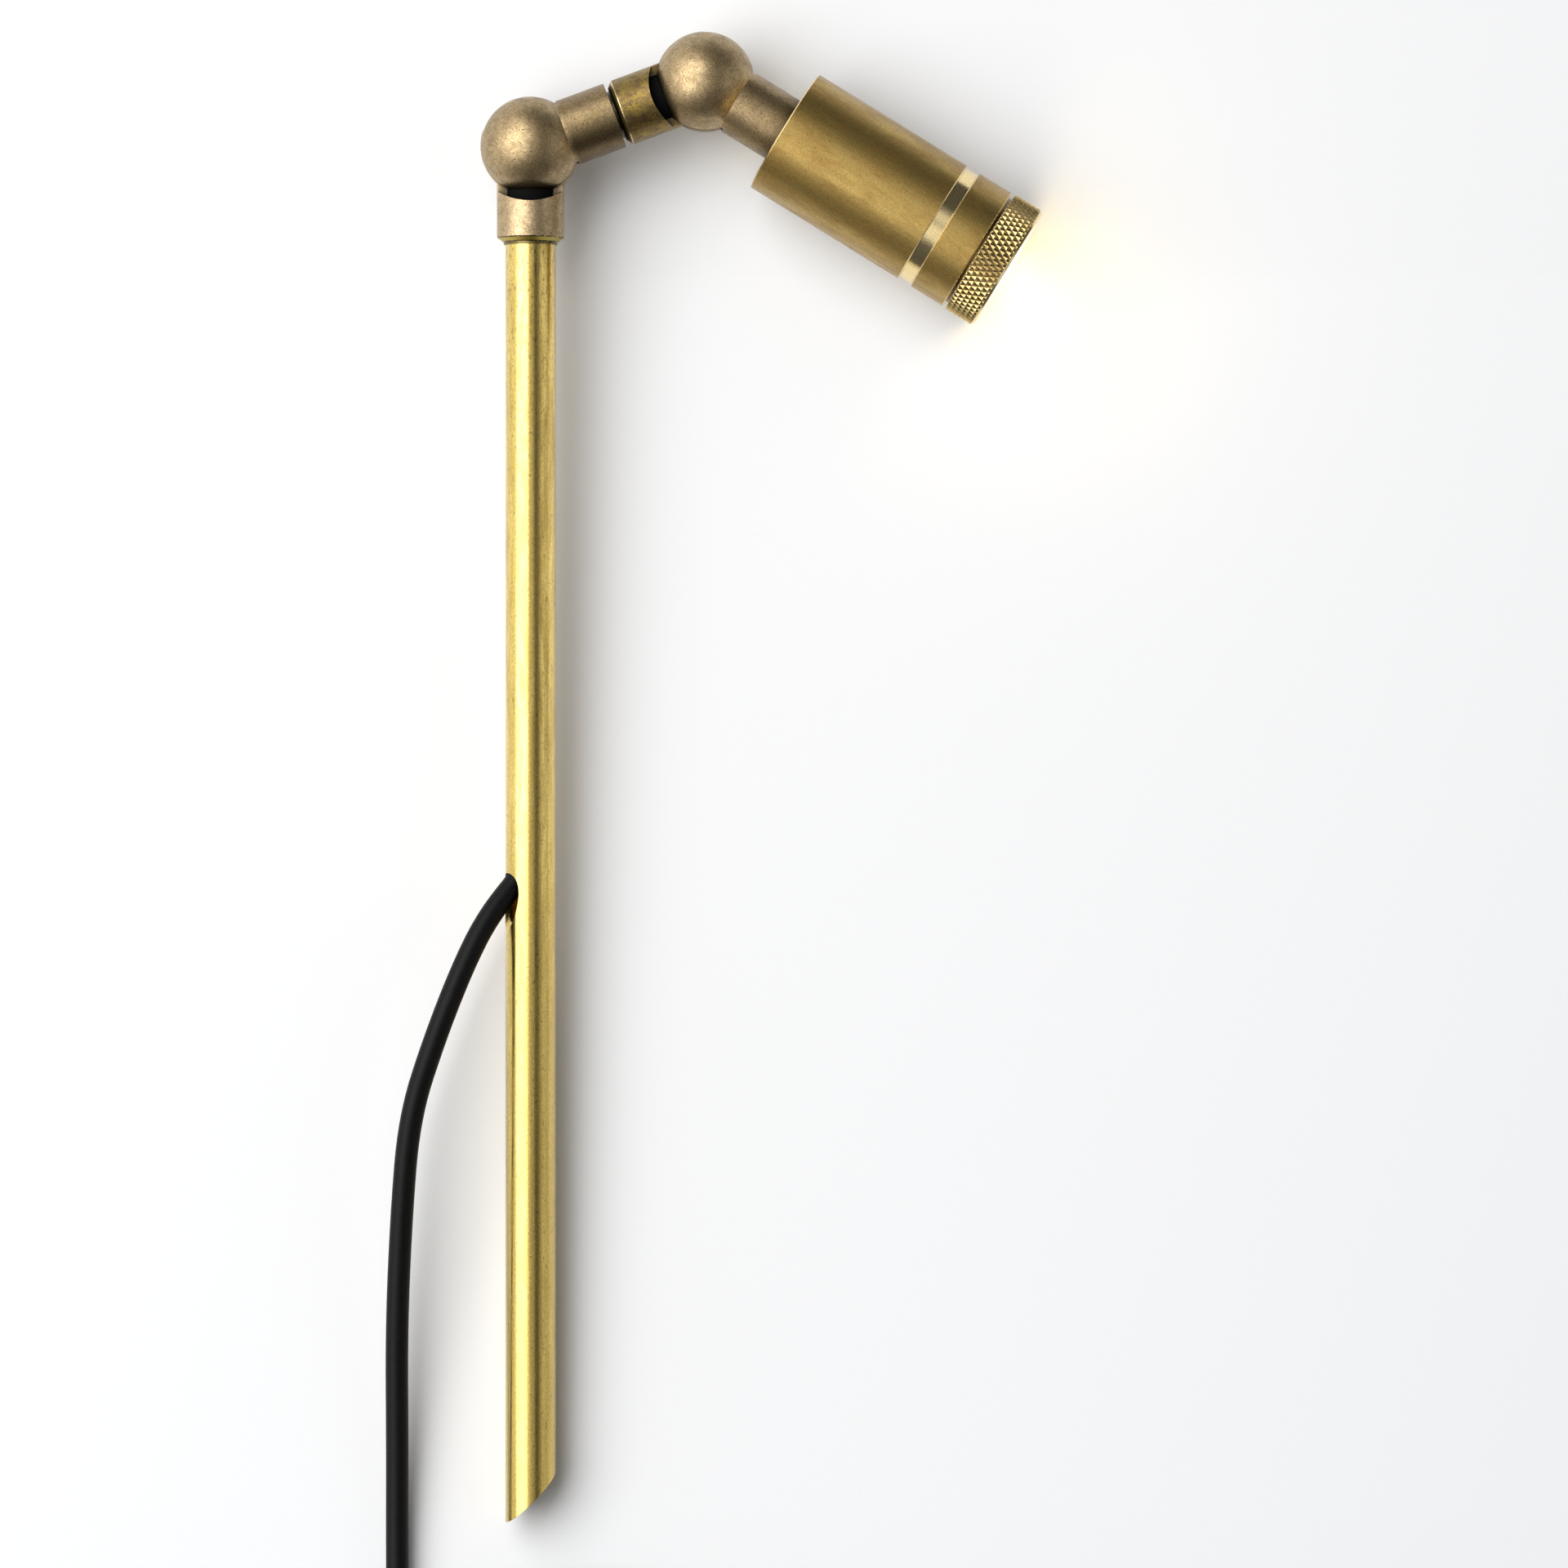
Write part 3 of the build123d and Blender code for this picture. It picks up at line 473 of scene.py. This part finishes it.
lamp_glass = glass("lamp_glass", (0.96, 0.97, 0.97), 0.04)
# The lens glass glows: painted light that stands for the lamp shining through it
lens_glass = glass("lens_glass", (1.0, 0.96, 0.90), 0.08, glow=0.35, glow_colour=(1.0, 0.84, 0.72))
lit_capsule = glass("lit_capsule", (1.0, 0.95, 0.85), 0.2, glow=3.0, glow_colour=(1.0, 0.80, 0.52))

finishes = {
    tube_brass: ["stem_tube"],
    bright_brass: ["neck_lock_nut", "plug_contacts"],
    dark_gap_brass: ["stem_ferrule", "arm_nipple"],
    lower_socket_brass: ["lower_socket"],
    upper_socket_brass: ["upper_socket"],
    lower_arm_brass: ["lower_ball_arm"],
    upper_arm_brass: ["upper_ball_arm"],
    head_brass: ["head_body"],
    rubber: ["stem_cable"],
    seal_and_gap_shade: ["lower_wire_seal", "upper_wire_seal", "lens_gasket", "plug_gland_seal"],
    moulding: ["coil_tie", "plug_gland_nut", "plug_body"],
    steel: ["lower_pivot_screw", "upper_pivot_screw", "lower_spring_washer", "upper_spring_washer",
            "twist_lock_screw", "holder_plate", "holder_screws", "lamp_pins"],
    aluminium: ["lamp_seat_ring"],
    fibre: ["lower_friction_washers", "upper_friction_washers"],
    ceramic: ["lamp_base", "lamp_holder"],
    insulation: ["stem_wires", "arm_wires", "head_wires"],
    silvered: ["lamp_reflector"],
    lamp_glass: ["lamp_front_glass"],
    lens_glass: ["lens_glass"],
    lit_capsule: ["lamp_capsule"],
}
for material, names in finishes.items():
    for name in names:
        nodes[name].data.materials.clear()
        nodes[name].data.materials.append(material)


# --- The cable: one line from the stem's hole, through the coil, to the plug --------------------------

cable_d = 7.2
tube_r = 8.0
exit_height = 14.8
exit_azimuth = math.radians(26.0)
exit_slope = math.radians(42.0)
lead_straight = 9.5
lead_x = -42.2
coil_plane_y = 4.3
coil_pitch = 7.7
coil_front_y = coil_plane_y - coil_pitch
coil_first_turn_r = 48.5
coil_half_turns_in = 5
coil_half_turns_out = 6
coil_height = -260.0
tail_length = 19.8
points_per_half_turn = 12

outward = Vector((-math.cos(exit_azimuth), -math.sin(exit_azimuth), 0.0))
exit_point = outward * tube_r + Vector((0.0, 0.0, exit_height))
exit_direction = outward * math.sin(exit_slope) - Vector((0.0, 0.0, math.cos(exit_slope)))
lead_waypoints = [
    (-20.8, -9.2, -8.0),
    (-29.8, -10.2, -31.0),
    (-37.9, -8.9, -56.0),
    (-40.6, -5.6, -88.0),
    (-42.3, -1.6, -124.0),
    (-42.2, 1.9, -160.0),
    (-42.4, 4.0, -192.0),
    (lead_x, coil_plane_y, -222.0),
    (lead_x, coil_plane_y, coil_height + cable_d),
]


def coil_points():
    """Half turns: in along the back layer, one over to the front layer, and out again."""
    points = []
    x, y = lead_x, coil_plane_y
    for turn in range(coil_half_turns_in + 1 + coil_half_turns_out):
        steps_in = coil_half_turns_in - abs(turn - coil_half_turns_in)
        radius = coil_first_turn_r - steps_in * coil_pitch / 2
        side = 1 if turn % 2 == 0 else -1
        next_y = coil_front_y if turn == coil_half_turns_in else y
        for index in range(points_per_half_turn):
            angle = math.pi * (index + 0.5) / points_per_half_turn
            across = (1 - math.cos(angle)) / 2
            points.append(Vector((
                x + side * 2 * radius * across,
                y + (next_y - y) * across,
                coil_height - side * radius * math.sin(angle),
            )))
        x, y = x + side * 2 * radius, next_y
    return points


def cable_points():
    """The whole route, in millimetres."""
    tail_top = coil_height - cable_d
    return [
        exit_point,
        exit_point + exit_direction * lead_straight,
        *[Vector(waypoint) for waypoint in lead_waypoints],
        *coil_points(),
        Vector((lead_x, coil_front_y, tail_top)),
        Vector((lead_x, coil_front_y, tail_top - tail_length)),
    ]


def smooth_tube(name, points, radius):
    """Round tube along one NURBS line through control points given in millimetres."""
    curve = bpy.data.curves.new(name, "CURVE")
    curve.dimensions = "3D"
    curve.bevel_depth = radius * MM
    curve.bevel_resolution = 12
    curve.use_fill_caps = True
    spline = curve.splines.new("NURBS")
    spline.points.add(len(points) - 1)
    for spot, point in zip(spline.points, points):
        spot.co = (*(point * MM), 1.0)
    spline.order_u = 3
    spline.use_endpoint_u = True
    spline.resolution_u = 8
    tube = bpy.data.objects.new(name, curve)
    scene.collection.objects.link(tube)
    return tube


cable = smooth_tube("cable", cable_points(), cable_d / 2)
cable.data.materials.append(rubber)
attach(cable, "stem")
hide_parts("cord_lead", "cord_coil", "cord_tail")


# --- The knurled front ring ---------------------------------------------------------------------------

ring_r = 21.15
ring_bore_r = 19.05
ring_start = 72.6
ring_bevel = 0.3
lip_r = 20.6
opening_r = 17.3
lens_shoulder = 81.75
knurls_round = 66
knurls_along = 2.75
steps_per_knurl = 12
knurl_depth = 0.55
knurl_flat = 0.12


def groove_rise(turns):
    """0 in a groove, 1 midway between two grooves."""
    share = turns % 1.0
    return 1.0 - abs(2.0 * share - 1.0)


def knurl_radius(column, row, height):
    """Radius of the ring's outside: two families of grooves, within bevelled ends."""
    right_hand = groove_rise((column + row) / steps_per_knurl)
    left_hand = groove_rise((column - row) / steps_per_knurl)
    rise = min(right_hand, left_hand, 1.0 - knurl_flat) / (1.0 - knurl_flat)
    from_end = min(height - ring_start, ring_end - height)
    bevelled = ring_r - max(0.0, ring_bevel - from_end)
    return min(bevelled, ring_r - knurl_depth * (1.0 - rise))


def ring_profile(columns):
    """Rows of (radius, height) round the ring: knurled outside, smooth lip, lens opening and bore."""
    knurl_rows = round(knurls_along * steps_per_knurl)
    smooth_rows = [
        (lip_r, ring_end),
        (lip_r, lip_end - ring_bevel),
        (lip_r - ring_bevel, lip_end),
        (opening_r + ring_bevel, lip_end),
        (opening_r, lip_end - ring_bevel),
        (opening_r, lens_shoulder),
        (ring_bore_r, lens_shoulder),
        (ring_bore_r, ring_start),
    ]
    rows = []
    for row in range(knurl_rows + 1):
        height = ring_start + (ring_end - ring_start) * row / knurl_rows
        rows.append([(knurl_radius(column, row, height), height) for column in range(columns)])
    return rows + [[corner] * columns for corner in smooth_rows]


def ring_mesh(name):
    """Closed ring of triangles, each square split along its deeper diagonal so that grooves stay clean."""
    columns = knurls_round * steps_per_knurl
    rows = ring_profile(columns)
    vertices = []
    for row in rows:
        for column, (radius, height) in enumerate(row):
            angle = 2 * math.pi * column / columns
            spot = Vector((radius * math.cos(angle), radius * math.sin(angle), height))
            vertices.append(at_head @ spot * MM)
    faces = []
    for row in range(len(rows)):
        above = (row + 1) % len(rows)
        for column in range(columns):
            beside = (column + 1) % columns
            corner = row * columns + column
            right = row * columns + beside
            up = above * columns + column
            across = above * columns + beside
            rising = rows[row][column][0] + rows[above][beside][0]
            falling = rows[row][beside][0] + rows[above][column][0]
            if rising <= falling:
                faces += [(corner, right, across), (corner, across, up)]
            else:
                faces += [(corner, right, up), (right, across, up)]
    mesh = bpy.data.meshes.new(name)
    mesh.from_pydata(vertices, [], faces)
    mesh.update()
    piece = bpy.data.objects.new(name, mesh)
    scene.collection.objects.link(piece)
    return piece


knurled_ring = ring_mesh("knurled_front_ring")
knurled_ring.data.materials.append(ring_brass)
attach(knurled_ring, "ring")
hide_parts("knurled_ring")


# --- Backdrop -----------------------------------------------------------------------------------------

paper_half_width = 900.0
paper_tones = (0.945, 0.955, 0.975), (0.965, 0.975, 0.99)

# Height along the stem, and depth behind its axis: level under the ring, then down to foot and cable
paper_profile = [(900.0, 21.6), (211.0, 21.6), (-184.0, 8.9), (-215.0, 8.3), (-900.0, 8.3)]


def paper():
    """Matt white paper with faint fibres, clear when seen from its back."""
    material, tree, shader = new_material("paper")
    darker, lighter = paper_tones
    tone = mix_colour(tree, noise(tree, 1.2, detail=4.0), rgb(*darker), rgb(*lighter))
    tree.links.new(tone, shader.inputs["Base Color"])
    shader.inputs["Roughness"].default_value = 0.95
    shader.inputs["Specular IOR Level"].default_value = 0.05
    behind = add_node(tree, "ShaderNodeNewGeometry").outputs["Backfacing"]
    clear = add_node(tree, "ShaderNodeBsdfTransparent").outputs[0]
    blend = add_node(tree, "ShaderNodeMixShader", {0: behind, 1: shader.outputs[0], 2: clear})
    tree.links.new(blend.outputs[0], tree.nodes["Material Output"].inputs["Surface"])
    return material


def backdrop():
    """Sheet that the object lies on, under the ring, the stem's foot and the cable."""
    vertices = []
    for height, depth in paper_profile:
        vertices += [Vector((side * paper_half_width, depth, height)) * MM for side in (-1, 1)]
    faces = [(row, row + 1, row + 3, row + 2) for row in range(0, len(vertices) - 2, 2)]
    mesh = bpy.data.meshes.new("backdrop")
    mesh.from_pydata(vertices, [], faces)
    mesh.update()
    if mesh.polygons[0].normal.y > 0:
        mesh.flip_normals()
    sheet = bpy.data.objects.new("backdrop", mesh)
    scene.collection.objects.link(sheet)
    sheet.data.materials.append(paper())


backdrop()


# --- Light --------------------------------------------------------------------------------------------

def direction(azimuth, elevation):
    """Unit vector from the object: azimuth 0 is towards the camera, positive to its right."""
    across, up = math.radians(azimuth), math.radians(elevation)
    return Vector((math.sin(across) * math.cos(up), -math.cos(across) * math.cos(up), math.sin(up)))


def softbox(azimuth, elevation, roll, distance, width, height, power):
    """Large rectangular light that faces the object."""
    data = bpy.data.lights.new("softbox", "AREA")
    data.shape = "RECTANGLE"
    data.size = width
    data.size_y = height
    data.energy = power
    data.color = (1.0, 0.995, 0.985)
    lamp = bpy.data.objects.new("softbox", data)
    toward = direction(azimuth, elevation)
    lamp.location = picture_centre + toward * distance
    lamp.rotation_mode = "QUATERNION"
    lamp.rotation_quaternion = toward.to_track_quat("Z", "Y") @ Quaternion((0, 0, 1), math.radians(roll))
    scene.collection.objects.link(lamp)


def lens_glow(power, radius, ahead):
    """The lit lamp: a small ball of warm light just in front of the lens."""
    data = bpy.data.lights.new("lens_glow", "POINT")
    data.shadow_soft_size = radius * MM
    data.energy = power
    data.color = (1.0, 0.80, 0.45)
    lamp = bpy.data.objects.new("lens_glow", data)
    lamp.location = at_head @ Vector((0.0, 0.0, lip_end + ahead)) * MM
    lamp.visible_camera = False
    scene.collection.objects.link(lamp)
    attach(lamp, "head")


softbox(azimuth=-36.0, elevation=12.0, roll=-21.0, distance=3.0, width=2.72, height=4.55, power=119.0)
lens_glow(power=0.040, radius=9.0, ahead=4.0)

# Light level of the room at each azimuth in degrees, between which it runs straight
horizon = [
    (-180.0, 0.90), (-100.0, 0.90), (-62.0, 0.85), (-20.0, 0.62), (0.0, 0.52), (14.0, 0.44), (20.0, 0.12),
    (28.0, 0.10), (36.0, 0.22), (46.0, 0.48), (56.0, 0.78), (76.0, 0.66), (104.0, 0.72), (125.0, 0.90),
    (180.0, 0.90),
]
# Sine of the elevation up to which those levels hold, and at which they are gone
horizon_fade = (0.22, 0.62)
# Round patches of light: full out to the inner angle in degrees, gone at the outer one
lit_patches = {
    "wide glow at the left": dict(azimuth=-80.0, elevation=18.0, inner=15.0, outer=75.0, strength=1.10),
    "room behind the paper": dict(azimuth=180.0, elevation=0.0, inner=40.0, outer=85.0, strength=0.90),
    "low card": dict(azimuth=-12.0, elevation=-15.0, inner=9.0, outer=22.0, strength=0.85),
    "small card": dict(azimuth=5.0, elevation=9.5, inner=4.0, outer=16.0, strength=0.75),
}
room_dark = 0.08
fill_for_matt = 0.68


def lit_patch(tree, look, azimuth, elevation, inner, outer, strength):
    """Light level of one round patch in the direction that is looked at."""
    facing = dot(tree, look, tuple(direction(azimuth, elevation)))
    near, far = math.cos(math.radians(inner)), math.cos(math.radians(outer))
    return remap(tree, facing, far, near, 0.0, strength)


def horizon_level(tree, look):
    """Light level of the room round the horizon, which fades above and below it."""
    split = add_node(tree, "ShaderNodeSeparateXYZ", {0: look}).outputs
    turn = maths(tree, "ARCTAN2", split[0], times(tree, split[1], -1.0))
    ramp = add_node(tree, "ShaderNodeValToRGB", {0: remap(tree, turn, -math.pi, math.pi)})
    stops = ramp.color_ramp.elements
    while len(stops) < len(horizon):
        stops.new(0.5)
    for stop, (azimuth, level) in zip(stops, horizon):
        stop.position = azimuth / 360.0 + 0.5
        stop.color = rgb(level, level, level)
    height = maths(tree, "ABSOLUTE", split[2])
    return times(tree, ramp.outputs[0], remap(tree, height, *horizon_fade, 1.0, 0.0))


def studio():
    """Room light: the horizon and the patches, weaker for matt surfaces, and white for the camera."""
    world = bpy.data.worlds.new("studio")
    world.use_nodes = True
    tree = world.node_tree
    look = add_node(tree, "ShaderNodeTexCoord").outputs["Generated"]
    level = horizon_level(tree, look)
    for patch in lit_patches.values():
        level = larger(tree, level, lit_patch(tree, look, **patch))
    rays = add_node(tree, "ShaderNodeLightPath").outputs
    for_matt = remap(tree, rays["Is Diffuse Ray"], 0.0, 1.0, 1.0, fill_for_matt)
    level = times(tree, larger(tree, level, room_dark), for_matt)
    background = tree.nodes["Background"]
    background.inputs["Color"].default_value = rgb(1.0, 1.0, 1.0)
    tree.links.new(larger(tree, level, rays["Is Camera Ray"]), background.inputs["Strength"])
    scene.world = world


studio()


# --- End ----------------------------------------------------------------------------------------------

scene.view_settings.view_transform = "Standard"
